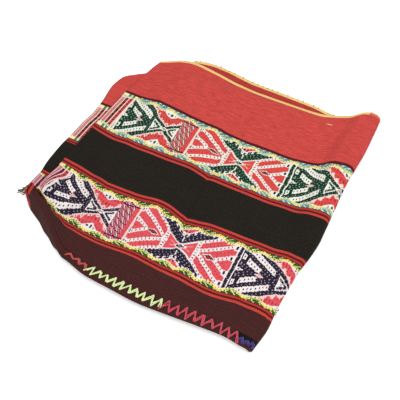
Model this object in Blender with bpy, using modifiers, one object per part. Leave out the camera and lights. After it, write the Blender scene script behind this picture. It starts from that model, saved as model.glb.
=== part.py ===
"""A small two-panel ceremonial cloth, folded in quarters and lying on a table.

Two loom-woven panels are joined edge to edge by a seam. The cloth is folded along a line just
beside that seam, so the inner panel lies under the outer one, and then folded again across the
stripes at its right side. Four layers lie on each other. Near the left end the seam stands up
as a ridge, and there the inner panel is the wall that faces the front.

Run with: blender --background --python part.py
Sizes are in millimetres and are turned to metres as the points are written.
X runs along the stripes, Y across them towards the open edges, and Z is up.
"""

import functools
import math

import bmesh
import bpy
import numpy as np

METRES = 0.001
CLOTH = 1.3
LAYER_PITCH = 2.1
SEAM_GAP = 0.4
# The middle of the footprint, which becomes the origin.
MIDDLE_X, MIDDLE_Y = -18.4, 22.8

# Heights of the middle of a layer: the lowest one, and the top one on the stack and off it.
LOWEST_LAYER = CLOTH / 2
TOP_LAYER = 8.3
TOP_LAYER_OFF_STACK = LOWEST_LAYER + LAYER_PITCH
# Where the top half comes down off the left end of the bottom half.
STACK_STARTS, STACK_FULL = -124.0, -96.0

# Distances across a panel, measured from the seam: the seam, four stripe lines and the open edge.
PANEL_WIDTH = 288.0
STRIPES = (0.0, 30.0, 96.0, 153.0, 219.0, PANEL_WIDTH)
FOLD_RADIUS = LAYER_PITCH / 2
FOLD_STARTS = 8.5
FOLD_ENDS = FOLD_STARTS + math.pi * FOLD_RADIUS
INNER_EDGE_Y = 140.0

# Where the folded edge, the seam, the four stripe lines and the open edge lie, by distance along the cloth.
HALF_COLUMNS = ("x", "front", "seam", "line_1", "line_2", "line_3", "line_4", "edge")
TOP_HALF = (
    (-155.0, -132.0, -122.5, -92.0, -22.5, 37.0, 97.0, 150.0),
    (-130.0, -131.0, -121.5, -90.0, -25.5, 32.0, 96.5, 162.5),
    (-107.0, -129.0, -120.0, -93.0, -31.0, 29.0, 95.0, 173.5),
    (-90.0, -129.0, -120.0, -95.5, -35.0, 27.0, 94.0, 176.0),
    (-60.0, -134.6, -124.6, -98.0, -35.5, 28.6, 93.5, 172.0),
    (-30.0, -137.0, -127.6, -97.0, -31.5, 29.0, 90.5, 166.5),
    (0.0, -138.8, -128.8, -98.5, -35.5, 23.5, 88.5, 164.0),
    (30.0, -137.6, -129.0, -99.5, -31.5, 20.8, 89.2, 164.0),
    (60.0, -135.6, -127.0, -98.5, -31.3, 21.0, 89.0, 164.5),
    (90.0, -134.0, -127.4, -95.0, -30.0, 25.0, 92.5, 168.0),
    (108.0, -136.0, -129.8, -96.0, -30.0, 25.5, 95.0, 174.0),
    (125.0, -137.0, -131.0, -98.5, -31.0, 27.0, 97.0, 180.5),
)
BOTTOM_HALF = (
    (-95.0, -117.0, -109.0, -90.0, -30.0, 30.0, 95.0, 181.0),
    (-70.0, -126.5, -118.5, -93.0, -30.0, 30.0, 95.0, 185.3),
    (-45.0, -132.5, -124.0, -95.0, -30.0, 30.0, 95.0, 183.0),
    (-16.0, -134.5, -126.0, -97.0, -31.0, 27.0, 92.0, 178.6),
    (30.0, -133.5, -126.0, -97.0, -31.0, 27.0, 92.0, 177.0),
    (60.0, -131.5, -124.5, -97.0, -31.0, 27.0, 92.0, 175.5),
    (83.0, -129.8, -123.0, -97.0, -31.0, 27.0, 92.0, 172.0),
    (125.0, -135.0, -128.5, -98.5, -31.0, 27.0, 97.0, 180.5),
)

# How far left each row of the cloth ends, by distance from the seam: minus is the inner panel.
LEFT_ENDS = (
    (-288.0, -133.0),
    (-278.0, -147.0),
    (-268.0, -158.5),
    (-262.0, -161.0),
    (-247.0, -163.7),
    (-219.0, -162.0),
    (-203.0, -162.3),
    (-185.0, -165.5),
    (-165.0, -167.5),
    (-140.0, -170.5),
    (-118.0, -171.5),
    (-96.0, -170.3),
    (-36.0, -173.0),
    (-27.0, -166.5),
    (-10.0, -152.0),
    (0.0, -147.0),
    (57.0, -153.0),
    (96.0, -156.0),
    (153.0, -151.0),
    (219.0, -144.0),
    (288.0, -131.0),
)
SEAM_LEFT_END = -147.0
LEFT_SHIFT_POWER = 3.0
BOTTOM_LEFT_END = -95.0

# The outermost line of the right-hand fold, by Y.
RIGHT_FOLD = (
    (-137.0, 119.5),
    (-105.0, 124.0),
    (-85.0, 123.5),
    (-65.0, 124.8),
    (-41.0, 126.5),
    (-27.0, 129.2),
    (-13.0, 131.6),
    (3.0, 133.2),
    (36.0, 133.0),
    (77.0, 132.6),
    (104.0, 134.4),
    (137.0, 136.4),
    (180.0, 136.4),
)
# How much the right-hand fold puffs up above the layers, by Y.
FOLD_PUFF = ((-137.0, 0.0), (-97.0, 0.6), (-30.0, 2.4), (27.0, 5.5), (97.0, 8.5), (180.0, 8.0))
PUFF_WIDTH = 17.0
PUFF_START = ((-137.0, 94.0), (100.0, 97.0), (180.0, 103.0))

# The ridge at the left end. Each section lies across the cloth at its x, and its rows are the
# distance from the seam, the Y and the height of the middle of the cloth.
RIDGE = {
    -171.0: (
        (-153.0, 9.6, 0.65),
        (-96.0, -41.5, 0.65),
        (-84.0, -46.0, 0.65),
        (-70.0, -52.0, 0.65),
        (-50.0, -62.0, 0.65),
        (-40.0, -67.0, 0.65),
        (-37.0, -69.0, 0.9),
        (-33.0, -70.0, 3.2),
        (-28.0, -71.0, 7.5),
        (-22.0, -72.5, 12.0),
        (-8.0, -72.0, 22.0),
        (-3.0, -70.0, 24.0),
        (3.0, -68.0, 24.0),
        (9.0, -68.0, 18.0),
        (20.0, -68.0, 9.0),
        (30.0, -67.0, 16.0),
        (39.0, -66.0, 20.6),
        (52.0, -58.0, 17.2),
        (70.0, -43.0, 10.5),
        (88.0, -28.0, 4.0),
        (96.0, -21.0, 2.75),
    ),
    -150.0: (
        (-153.0, 9.6, 0.65),
        (-96.0, -44.0, 0.65),
        (-70.0, -61.0, 0.65),
        (-50.0, -74.0, 0.65),
        (-35.0, -86.5, 0.65),
        (-31.0, -90.0, 1.1),
        (-28.0, -90.2, 3.6),
        (-22.0, -88.0, 9.3),
        (-14.0, -84.6, 17.8),
        (-9.5, -82.4, 22.8),
        (-7.0, -80.3, 24.4),
        (-4.0, -78.5, 23.3),
        (0.0, -77.5, 20.2),
        (4.0, -77.1, 16.6),
        (9.0, -76.9, 12.2),
        (15.0, -76.5, 7.8),
        (20.5, -74.9, 5.4),
        (26.0, -73.2, 8.8),
        (32.0, -73.0, 14.6),
        (36.0, -72.6, 18.2),
        (39.0, -70.8, 20.0),
        (44.0, -66.4, 20.0),
        (52.0, -59.5, 17.2),
        (70.0, -44.5, 10.5),
        (88.0, -29.6, 4.0),
        (96.0, -22.8, 2.75),
    ),
    -136.0: (
        (-153.0, 9.6, 0.65),
        (-96.0, -44.5, 0.65),
        (-50.0, -79.0, 0.65),
        (-31.0, -94.5, 0.65),
        (-27.5, -97.4, 1.1),
        (-25.0, -98.0, 3.2),
        (-20.0, -96.4, 8.2),
        (-14.0, -94.2, 14.2),
        (-9.0, -92.0, 19.3),
        (-6.0, -90.1, 21.9),
        (-3.0, -87.8, 23.3),
        (0.0, -85.4, 22.7),
        (3.0, -83.6, 20.8),
        (6.0, -83.1, 18.2),
        (12.0, -83.0, 12.8),
        (19.0, -82.9, 7.2),
        (24.0, -81.9, 5.0),
        (29.0, -80.3, 6.2),
        (34.0, -78.2, 9.0),
        (38.0, -75.4, 10.2),
        (45.0, -69.6, 9.8),
        (60.0, -57.2, 7.0),
        (80.0, -39.8, 3.6),
        (96.0, -24.8, 2.75),
    ),
    -122.0: (
        (-153.0, 9.6, 0.65),
        (-96.0, -45.5, 0.65),
        (-50.0, -84.0, 0.65),
        (-28.0, -102.9, 0.7),
        (-24.5, -106.3, 0.9),
        (-22.0, -107.6, 2.6),
        (-19.0, -107.1, 6.0),
        (-13.0, -104.8, 13.0),
        (-9.0, -103.2, 18.2),
        (-6.0, -101.1, 21.2),
        (-3.0, -98.3, 22.6),
        (0.0, -95.5, 21.9),
        (3.0, -93.2, 20.2),
        (8.0, -91.6, 16.8),
        (15.0, -89.6, 11.6),
        (24.0, -86.4, 5.0),
        (30.0, -83.6, 3.6),
        (38.0, -79.0, 3.2),
        (60.0, -60.3, 2.9),
        (96.0, -26.3, 2.75),
    ),
    -103.0: (
        (-153.0, 9.6, 5.3),
        (-96.0, -46.0, 5.3),
        (-40.0, -97.0, 5.0),
        (-28.0, -106.0, 3.0),
        (-22.0, -114.6, 1.8),
        (-18.5, -118.1, 2.4),
        (-16.0, -119.4, 4.5),
        (-12.0, -119.0, 9.0),
        (-8.0, -117.8, 15.0),
        (-4.0, -114.9, 18.9),
        (0.0, -111.8, 19.9),
        (4.0, -109.0, 19.2),
        (8.0, -107.4, 17.6),
        (15.0, -103.8, 14.0),
        (24.0, -98.5, 9.2),
        (30.0, -94.6, 7.7),
        (45.0, -79.5, 7.4),
        (96.0, -32.0, 7.4),
    ),
    -88.0: (
        (-153.0, 9.6, 6.2),
        (-96.0, -46.0, 6.2),
        (-30.0, -104.0, 6.2),
        (-18.0, -121.0, 6.0),
        (-13.5, -125.3, 5.8),
        (-11.0, -127.0, 6.8),
        (-8.0, -127.2, 9.4),
        (-4.0, -124.0, 12.4),
        (0.0, -120.4, 13.2),
        (4.0, -117.2, 13.2),
        (15.0, -109.0, 11.5),
        (30.0, -95.5, 8.8),
        (96.0, -35.0, 8.3),
    ),
}
RIDGE_ENDS_X = -58.0

# The open edge of the outer panel sinks past the inner one onto the lowest layer.
EDGE_DROP_STARTS, EDGE_DROP_ENDS = 145.0, 163.0
EDGE_DROP_FADES, EDGE_DROP_GONE = 70.0, 105.0

# The top half arches on both sides of an old crease in its middle, less so at the front.
ARCH_HEIGHT = 2.4
ARCH_SPAN = 95.0
ARCH_POWER = 0.9
ARCH_AT_FRONT = 0.3
ARCH_STARTS, ARCH_FULL = -136.0, -90.0
CREASE_X, CREASE_LEAN = -3.0, -0.065

# Rows across each panel, by distance from the seam, and steps along it.
OUTER_ROWS = (
    SEAM_GAP / 2, 1.2, 5, 10, 14, 17, 20, 23, 27, 31, 35, 38, 41, 46, 54, 66, 80, 96,
    115, 134, 153, 175, 197, 219, 240, 252, 260, 267, 274, 281, 288,
)
INNER_ROWS_BEFORE_FOLD = (SEAM_GAP / 2, 1.2, 4.5)
INNER_ROWS_AFTER_FOLD = (
    16, 20, 24, 28, 31, 33.5, 36, 38.5, 42, 50, 64, 80, 96,
    124, 153, 186, 219, 240, 253, 265, 277, 288,
)
FOLD_STEPS, TURN_STEPS, BOTTOM_STEPS = 5, 8, 7
# Along the seam from the left end to the fold, each stretch ends at an X and has equal steps.
TOP_STRETCHES = ((-100.0, 9), (-58.0, 5), (90.0, 9), (123.0, 7))

OUTER_COLOUR = (0.55, 0.06, 0.06)
INNER_COLOUR = (0.12, 0.02, 0.03)
WOOL_ROUGHNESS = 0.9


def smooth_through(points, at):
    """A smooth curve through a short table of points that never overshoots them."""
    xs = np.array([p[0] for p in points], float)
    ys = np.array([p[1] for p in points], float)
    step, rise = np.diff(xs), np.diff(ys) / np.diff(xs)
    slope = np.zeros(len(xs))
    slope[0], slope[-1] = rise[0], rise[-1]
    for i in range(1, len(xs) - 1):
        if rise[i - 1] * rise[i] > 0:
            slope[i] = 2 * rise[i - 1] * rise[i] / (rise[i - 1] + rise[i])
    at = min(max(at, xs[0]), xs[-1])
    i = min(max(int(np.searchsorted(xs, at)) - 1, 0), len(step) - 1)
    t = (at - xs[i]) / step[i]
    return float(
        ys[i] * (1 + 2 * t) * (1 - t) ** 2
        + ys[i + 1] * t * t * (3 - 2 * t)
        + step[i] * (slope[i] * t * (1 - t) ** 2 - slope[i + 1] * t * t * (1 - t))
    )


def ease(value, start, end):
    """0 before start, 1 after end, and smooth between them."""
    t = min(max((value - start) / (end - start), 0.0), 1.0)
    return t * t * (3 - 2 * t)


def line_y(half, line, x):
    """Y of one named line of a half of the cloth at this x."""
    place = HALF_COLUMNS.index(line)
    return smooth_through([(row[0], row[place]) for row in half], x)


def fold_turn(distance):
    """How far round the folded front edge a point lies, in radians."""
    past = min(max(-distance, FOLD_STARTS), FOLD_ENDS)
    return (past - FOLD_STARTS) / FOLD_RADIUS


def depth_below_outer(distance):
    """How deep a point lies under the outer layer of its half of the cloth."""
    return FOLD_RADIUS * (1 - math.cos(fold_turn(distance)))


def flat_y(half, distance, x):
    """Y of a point of the cloth as it lies folded, before the ridge is raised."""
    if distance >= 0:
        lines = [(d, line_y(half, line, x)) for d, line in zip(STRIPES, HALF_COLUMNS[2:])]
        return smooth_through(lines, distance)
    turn_starts = line_y(half, "front", x) + FOLD_RADIUS
    if -distance <= FOLD_STARTS:
        seam = line_y(half, "seam", x)
        return seam + distance / FOLD_STARTS * (seam - turn_starts)
    if -distance <= FOLD_ENDS:
        return turn_starts - FOLD_RADIUS * math.sin(fold_turn(distance))
    share = (-distance - FOLD_ENDS) / (PANEL_WIDTH - FOLD_ENDS)
    return turn_starts + share * (INNER_EDGE_Y - turn_starts)


def puff(y):
    return smooth_through(FOLD_PUFF, y)


def outer_layer_height(x, y):
    """Height of the middle of the top layer, before the ridge is raised."""
    on_stack = ease(x, STACK_STARTS, STACK_FULL)
    height = TOP_LAYER_OFF_STACK + (TOP_LAYER - TOP_LAYER_OFF_STACK) * on_stack
    from_crease = (x - CREASE_X - CREASE_LEAN * y) / ARCH_SPAN
    if abs(from_crease) < 1:
        strength = ARCH_AT_FRONT + (1 - ARCH_AT_FRONT) * ease(y, ARCH_STARTS, ARCH_FULL)
        height += ARCH_HEIGHT * strength * abs(math.sin(math.pi * from_crease)) ** ARCH_POWER
    puff_starts = smooth_through(PUFF_START, y)
    return height + puff(y) * ease(x, puff_starts, puff_starts + PUFF_WIDTH)


def edge_drop(x, y, height):
    """How far the open edge of the outer panel sinks where nothing lies under it."""
    rests_at = LOWEST_LAYER + LAYER_PITCH * ease(x, STACK_STARTS, STACK_FULL)
    sinks = ease(y, EDGE_DROP_STARTS, EDGE_DROP_ENDS) * (1 - ease(x, EDGE_DROP_FADES, EDGE_DROP_GONE))
    return (height - rests_at) * sinks


def flat_point(distance, x):
    """Y and height of a point of the top half before the ridge is raised."""
    y = flat_y(TOP_HALF, distance, x)
    height = outer_layer_height(x, y)
    if distance > 0:
        height -= edge_drop(x, y, height)
    return y, height - depth_below_outer(distance)


@functools.lru_cache(maxsize=None)
def ridge_moves(distance):
    """How far each section of the ridge pushes one row of the cloth back and up."""
    back, up = [(RIDGE_ENDS_X, 0.0)], [(RIDGE_ENDS_X, 0.0)]
    for x, rows in RIDGE.items():
        push = (0.0, 0.0)
        if rows[0][0] < distance < rows[-1][0]:
            y, z = flat_point(distance, x)
            push = (
                smooth_through([(row[0], row[1]) for row in rows], distance) - y,
                smooth_through([(row[0], row[2]) for row in rows], distance) - z,
            )
        back.append((x, push[0]))
        up.append((x, push[1]))
    return sorted(back), sorted(up)


def outer_radius(y):
    """Radius of the right-hand fold at the middle of the outer layer."""
    return (TOP_LAYER + puff(y) - LOWEST_LAYER) / 2


def turn_y(distance):
    return flat_y(TOP_HALF, distance, TOP_HALF[-1][0])


def turn_x(distance):
    """X of the centre of the right-hand fold for one row of the cloth."""
    y = turn_y(distance)
    return smooth_through(RIGHT_FOLD, y) - CLOTH / 2 - outer_radius(y)


def top_point(distance, share):
    """A point of the top half: share runs from 0 at the left end to 1 where the fold begins."""
    past_seam_end = smooth_through(LEFT_ENDS, distance) - SEAM_LEFT_END
    x = SEAM_LEFT_END + share * (turn_x(distance) - SEAM_LEFT_END)
    x += past_seam_end * (1 - share) ** LEFT_SHIFT_POWER
    y, z = flat_point(distance, x)
    if x < RIDGE_ENDS_X:
        back, up = ridge_moves(distance)
        y += smooth_through(back, x)
        z += smooth_through(up, x)
    return x, y, max(z, LOWEST_LAYER)


def turn_point(distance, share):
    """A point on the right-hand fold: share runs from 0 on the top to 1 on the underside."""
    top_y = turn_y(distance)
    under_y = flat_y(BOTTOM_HALF, distance, BOTTOM_HALF[-1][0])
    radius = outer_radius(top_y) - depth_below_outer(distance)
    angle = math.pi * share
    return (
        turn_x(distance) + radius * math.sin(angle),
        top_y + (under_y - top_y) * share,
        LOWEST_LAYER + outer_radius(top_y) + radius * math.cos(angle),
    )


def bottom_point(distance, share):
    """A point of the bottom half: share runs from 0 at the fold to 1 at the left end."""
    start = turn_x(distance)
    x = start + share * (BOTTOM_LEFT_END - start)
    return x, flat_y(BOTTOM_HALF, distance, x), LOWEST_LAYER + depth_below_outer(distance)


def steps_along():
    """The steps along the cloth, from its left end over the right-hand fold and back underneath."""
    start, last = SEAM_LEFT_END, TOP_STRETCHES[-1][0]
    for end, count in TOP_STRETCHES:
        for i in range(count):
            x = start + (end - start) * i / count
            yield top_point, (x - SEAM_LEFT_END) / (last - SEAM_LEFT_END)
        start = end
    for i in range(TURN_STEPS):
        yield turn_point, i / TURN_STEPS
    for i in range(BOTTOM_STEPS + 1):
        yield bottom_point, i / BOTTOM_STEPS


def inner_rows():
    """Rows of the inner panel from its open edge to the seam, with short steps round the fold."""
    span = FOLD_ENDS - FOLD_STARTS
    fold = [FOLD_STARTS + span * i / FOLD_STEPS for i in range(FOLD_STEPS + 1)]
    rows = [*INNER_ROWS_BEFORE_FOLD, *fold, *INNER_ROWS_AFTER_FOLD]
    return [-distance for distance in reversed(rows)]


def cloth_material(name, colour):
    material = bpy.data.materials.new(name + "_wool")
    material.use_nodes = True
    shader = material.node_tree.nodes["Principled BSDF"]
    shader.inputs["Base Color"].default_value = (*colour, 1)
    shader.inputs["Roughness"].default_value = WOOL_ROUGHNESS
    shader.inputs["Metallic"].default_value = 0.0
    return material


def cloth_panel(name, rows, colour):
    """One panel: a grid laid on the folds of the cloth and given its thickness."""
    steps = list(steps_along())
    shape = bmesh.new()
    bmesh.ops.create_grid(shape, x_segments=len(steps) - 1, y_segments=len(rows) - 1, size=0.5)
    for vertex in shape.verts:
        point_on, share = steps[round((vertex.co.x + 0.5) * (len(steps) - 1))]
        distance = rows[round((vertex.co.y + 0.5) * (len(rows) - 1))]
        x, y, z = point_on(distance, share)
        vertex.co = METRES * (x - MIDDLE_X), METRES * (y - MIDDLE_Y), METRES * z
    mesh = bpy.data.meshes.new(name)
    shape.to_mesh(mesh)
    shape.free()
    panel = bpy.data.objects.new(name, mesh)
    thicken = panel.modifiers.new("cloth thickness", "SOLIDIFY")
    thicken.thickness = CLOTH * METRES
    thicken.offset = 0.0
    mesh.materials.append(cloth_material(name, colour))
    mesh.shade_smooth()
    return panel


def main():
    for old in list(bpy.data.objects):
        bpy.data.objects.remove(old)
    pieces = bpy.data.collections.new("ceremonial_cloth")
    bpy.context.scene.collection.children.link(pieces)
    pieces.objects.link(cloth_panel("outer_panel", OUTER_ROWS, OUTER_COLOUR))
    pieces.objects.link(cloth_panel("inner_panel", inner_rows(), INNER_COLOUR))


main()
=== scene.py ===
"""A small two-panel ceremonial cloth, folded in quarters and lying on a pale table.

The cloth is two loom-woven panels joined by a seam in zigzag stitches of four colours. Each panel
is a thin sheet laid on its folds, with its stripes and patterned bands painted by a woven chart
that follows the cloth. Sizes are in millimetres and are turned to metres as points are written.
X runs along the stripes, Y across them towards the open edges, and Z is up.
"""

import math

import bpy
import numpy as np
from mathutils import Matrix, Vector


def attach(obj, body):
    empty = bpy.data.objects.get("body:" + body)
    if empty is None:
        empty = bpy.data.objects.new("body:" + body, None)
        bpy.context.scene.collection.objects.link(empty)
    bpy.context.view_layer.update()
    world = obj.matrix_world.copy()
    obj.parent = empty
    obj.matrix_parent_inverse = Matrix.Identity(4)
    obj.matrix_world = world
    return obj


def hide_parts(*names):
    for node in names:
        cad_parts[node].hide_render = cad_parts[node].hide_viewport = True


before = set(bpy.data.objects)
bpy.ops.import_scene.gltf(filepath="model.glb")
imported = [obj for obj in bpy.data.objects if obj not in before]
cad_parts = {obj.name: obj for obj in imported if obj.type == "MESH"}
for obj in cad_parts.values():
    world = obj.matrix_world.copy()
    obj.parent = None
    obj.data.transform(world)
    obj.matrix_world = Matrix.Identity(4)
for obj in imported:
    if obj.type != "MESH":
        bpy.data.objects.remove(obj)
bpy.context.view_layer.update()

bl_info = {
    "name": "Ceremonial Cloth",
    "version": (1, 0, 0),
    "blender": (4, 5, 0),
    "location": "View3D > Sidebar > Cloth",
    "description": "Makes a folded two-panel woven cloth with joining stitches",
    "category": "Object",
}

METRES = 0.001
# The middle of the footprint, which is the origin.
MIDDLE_X, MIDDLE_Y = -18.4, 22.8
LAYER_PITCH = 2.1

# Heights of the middle of a layer: the lowest one, and the top one on the stack and off it.
LOWEST_LAYER = 0.65
TOP_LAYER = 8.3
TOP_LAYER_OFF_STACK = LOWEST_LAYER + LAYER_PITCH
# Where the top half comes down off the left end of the bottom half.
STACK_STARTS, STACK_FULL = -124.0, -96.0

PANEL_WIDTH = 288.0
# Length of a panel laid flat: rather more than half of it shows, and the rest is folded under.
# Distances across a panel, measured from the seam: the seam, four stripe lines and the open edge.
STRIPES = (0.0, 30.0, 96.0, 153.0, 219.0, PANEL_WIDTH)
# The front fold: its radius, and the distances from the seam where it starts and ends. The inner
# panel goes on from there to its own edge.
FOLD_RADIUS = LAYER_PITCH / 2
FOLD_STARTS = 8.5
FOLD_ENDS = FOLD_STARTS + math.pi * FOLD_RADIUS
INNER_EDGE_Y = 140.0

# Where the folded edge, the seam, the four stripe lines and the open edge lie along the cloth.
HALF_COLUMNS = ("x", "front", "seam", "line_1", "line_2", "line_3", "line_4", "edge")
TOP_HALF = (
    (-155, -132, -122.5, -92, -22.5, 37, 97, 150),
    (-130, -131, -121.5, -90, -25.5, 32, 96.5, 162.5),
    (-107, -129, -120, -93, -31, 29, 95, 173.5),
    (-90, -129, -120, -95.5, -35, 27, 94, 176),
    (-60, -134.6, -124.6, -98, -35.5, 28.6, 93.5, 172),
    (-30, -137, -127.6, -97, -31.5, 29, 90.5, 166.5),
    (0, -138.8, -128.8, -98.5, -35.5, 23.5, 88.5, 164),
    (30, -137.6, -129, -99.5, -31.5, 20.8, 89.2, 164),
    (60, -135.6, -127, -98.5, -31.3, 21, 89, 164.5),
    (90, -134, -127.4, -95, -30, 25, 92.5, 168),
    (108, -136, -129.8, -96, -30, 25.5, 95, 174),
    (125, -137, -131, -98.5, -31, 27, 97, 180.5),
)
BOTTOM_HALF = (
    (-95, -117, -109, -90, -30, 30, 95, 181),
    (-70, -126.5, -118.5, -93, -30, 30, 95, 185.3),
    (-45, -132.5, -124, -95, -30, 30, 95, 183),
    (-16, -134.5, -126, -97, -31, 27, 92, 178.6),
    (30, -133.5, -126, -97, -31, 27, 92, 177),
    (60, -131.5, -124.5, -97, -31, 27, 92, 175.5),
    (83, -129.8, -123, -97, -31, 27, 92, 172),
    (125, -135, -128.5, -98.5, -31, 27, 97, 180.5),
)

# How far left each row of the cloth ends, by distance from the seam: minus is the inner panel.
LEFT_ENDS = (
    (-288, -133), (-278, -147), (-268, -158.5), (-262, -161), (-247, -163.7),
    (-219, -162), (-203, -162.3), (-185, -165.5), (-165, -167.5), (-140, -170.5),
    (-118, -171.5), (-96, -170.3), (-36, -173), (-27, -166.5), (-10, -152),
    (0, -147), (57, -153), (96, -156), (153, -151), (219, -144),
    (288, -131),
)
SEAM_LEFT_END = -147.0
LEFT_SHIFT_POWER = 3.0
BOTTOM_LEFT_END = -95.0

# The outermost line of the right-hand fold, by Y.
RIGHT_FOLD = (
    (-137, 119.5), (-105, 124), (-85, 123.5), (-65, 124.8), (-41, 126.5),
    (-27, 129.2), (-13, 131.6), (3, 133.2), (36, 133), (77, 132.6),
    (104, 134.4), (137, 136.4), (180, 136.4),
)
# How much the right-hand fold puffs up above the layers, by Y.
FOLD_PUFF = ((-137, 0), (-97, 0.6), (-30, 2.4), (27, 5.5), (97, 8.5), (180, 8))
PUFF_WIDTH = 17.0
PUFF_START = ((-137, 94), (100, 97), (180, 103))

# The ridge at the left end. Each section lies across the cloth at its x, and its rows are the
# distance from the seam, the Y and the height of the middle of the cloth.
RIDGE = {
    -171.0: (
        (-153, 9.6, 0.65), (-96, -41.5, 0.65), (-84, -46, 0.65), (-70, -52, 0.65),
        (-50, -62, 0.65), (-40, -67, 0.65), (-37, -69, 0.9), (-33, -70, 3.2), (-28, -71, 7.5),
        (-22, -72.5, 12), (-8, -72, 22), (-3, -70, 24), (3, -68, 24), (9, -68, 18), (20, -68, 9),
        (30, -67, 16), (39, -66, 20.6), (52, -58, 17.2), (70, -43, 10.5), (88, -28, 4),
        (96, -21, 2.75),
    ),
    -150.0: (
        (-153, 9.6, 0.65), (-96, -44, 0.65), (-70, -61, 0.65), (-50, -74, 0.65),
        (-35, -86.5, 0.65), (-31, -90, 1.1), (-28, -90.2, 3.6), (-22, -88, 9.3),
        (-14, -84.6, 17.8), (-9.5, -82.4, 22.8), (-7, -80.3, 24.4), (-4, -78.5, 23.3),
        (0, -77.5, 20.2), (4, -77.1, 16.6), (9, -76.9, 12.2), (15, -76.5, 7.8), (20.5, -74.9, 5.4),
        (26, -73.2, 8.8), (32, -73, 14.6), (36, -72.6, 18.2), (39, -70.8, 20), (44, -66.4, 20),
        (52, -59.5, 17.2), (70, -44.5, 10.5), (88, -29.6, 4), (96, -22.8, 2.75),
    ),
    -136.0: (
        (-153, 9.6, 0.65), (-96, -44.5, 0.65), (-50, -79, 0.65), (-31, -94.5, 0.65),
        (-27.5, -97.4, 1.1), (-25, -98, 3.2), (-20, -96.4, 8.2), (-14, -94.2, 14.2),
        (-9, -92, 19.3), (-6, -90.1, 21.9), (-3, -87.8, 23.3), (0, -85.4, 22.7), (3, -83.6, 20.8),
        (6, -83.1, 18.2), (12, -83, 12.8), (19, -82.9, 7.2), (24, -81.9, 5), (29, -80.3, 6.2),
        (34, -78.2, 9), (38, -75.4, 10.2), (45, -69.6, 9.8), (60, -57.2, 7), (80, -39.8, 3.6),
        (96, -24.8, 2.75),
    ),
    -122.0: (
        (-153, 9.6, 0.65), (-96, -45.5, 0.65), (-50, -84, 0.65), (-28, -102.9, 0.7),
        (-24.5, -106.3, 0.9), (-22, -107.6, 2.6), (-19, -107.1, 6), (-13, -104.8, 13),
        (-9, -103.2, 18.2), (-6, -101.1, 21.2), (-3, -98.3, 22.6), (0, -95.5, 21.9),
        (3, -93.2, 20.2), (8, -91.6, 16.8), (15, -89.6, 11.6), (24, -86.4, 5), (30, -83.6, 3.6),
        (38, -79, 3.2), (60, -60.3, 2.9), (96, -26.3, 2.75),
    ),
    -103.0: (
        (-153, 9.6, 5.3), (-96, -46, 5.3), (-40, -97, 5), (-28, -106, 3), (-22, -114.6, 1.8),
        (-18.5, -118.1, 2.4), (-16, -119.4, 4.5), (-12, -119, 9), (-8, -117.8, 15),
        (-4, -114.9, 18.9), (0, -111.8, 19.9), (4, -109, 19.2), (8, -107.4, 17.6),
        (15, -103.8, 14), (24, -98.5, 9.2), (30, -94.6, 7.7), (45, -79.5, 7.4), (96, -32, 7.4),
    ),
    -88.0: (
        (-153, 9.6, 6.2), (-96, -46, 6.2), (-30, -104, 6.2), (-18, -121, 6), (-13.5, -125.3, 5.8),
        (-11, -127, 6.8), (-8, -127.2, 9.4), (-4, -124, 12.4), (0, -120.4, 13.2),
        (4, -117.2, 13.2), (15, -109, 11.5), (30, -95.5, 8.8), (96, -35, 8.3),
    ),
}
RIDGE_ENDS_X = -58.0

# The open edge of the outer panel sinks past the inner one onto the lowest layer.
EDGE_DROP_STARTS, EDGE_DROP_ENDS = 145.0, 163.0
EDGE_DROP_FADES, EDGE_DROP_GONE = 70.0, 105.0

# The top half arches on both sides of an old crease in its middle, less so at the front.
ARCH_HEIGHT = 2.4
ARCH_SPAN = 95.0
ARCH_POWER = 0.9
ARCH_AT_FRONT = 0.3
ARCH_STARTS, ARCH_FULL = -136.0, -90.0
CREASE_X, CREASE_LEAN = -3.0, -0.065

# Where the woven lines really run, by X, as distances from the seam: the outer and the inner side
# of the front double stripe, the inner side of the border, two lines across the figures, the dark
# lines of the next two doubles, and the dark line behind the second band. At the left end the
# front ones run together in the valley behind the ridge.
WOVEN_LINES = (
    (-151, 36, 37, 38.5, 51.5, 74.5, 98.8, 155, 222.2),
    (-146, 35, 36, 37.5, 51.5, 74, 98.8, 155, 222.2),
    (-141, 33.5, 35, 37, 52.5, 73.5, 98.8, 155, 222.2),
    (-135, 29.5, 31.5, 36, 53.5, 73, 98.8, 155, 222.2),
    (-130, 24, 29.5, 34.6, 53.8, 72.5, 98.8, 155, 222.2),
    (-126, 18, 28, 34.4, 54.2, 72.5, 98.8, 155, 222.2),
    (-116, 27.6, 33.4, 38.8, 55, 73, 98.8, 155, 222.2),
    (-103, 29.2, 34.9, 40.3, 55.8, 74, 98.8, 155, 222.2),
    (-85, 27.4, 33, 38.4, 54, 73, 99, 154, 220.5),
    (-50, 28.4, 34, 39.5, 52.2, 73.3, 99, 151.7, 217),
    (-20, 29.2, 35.2, 40.6, 52.8, 73.6, 98.4, 153, 219),
    (20, 28.8, 35.5, 40.8, 52.2, 71.6, 94.8, 156, 215),
    (60, 24.6, 31.3, 36.8, 49.1, 70, 95, 155.2, 214.7),
    (90, 25.6, 32.3, 37.8, 50, 70.7, 95.4, 154, 216.5),
    (105, 26.6, 33.3, 38.8, 50.9, 71.6, 96.2, 154.3, 219.3),
    (125, 27.1, 33.8, 39.2, 51.3, 71.9, 96.5, 154, 220),
)
CHART_LINES = (26.6, 33.3, 38.7, 51, 72, 97, 153, 219)
# The outer panel's end stripes and first figure are drawn together towards the ridge: over these
# distances from the seam and this far along, by this much more stripe, and shifted by this much.
DRAWN_FROM, DRAWN_TO = 38.0, 85.0
DRAWN_X = (-142, -104)
DRAWN_STRIPES = 2.3
DRAWN_SHIFT = ((30, 5), (56, 4), (76, 4), (88, -4), (97, -4), (110, 0))
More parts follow.
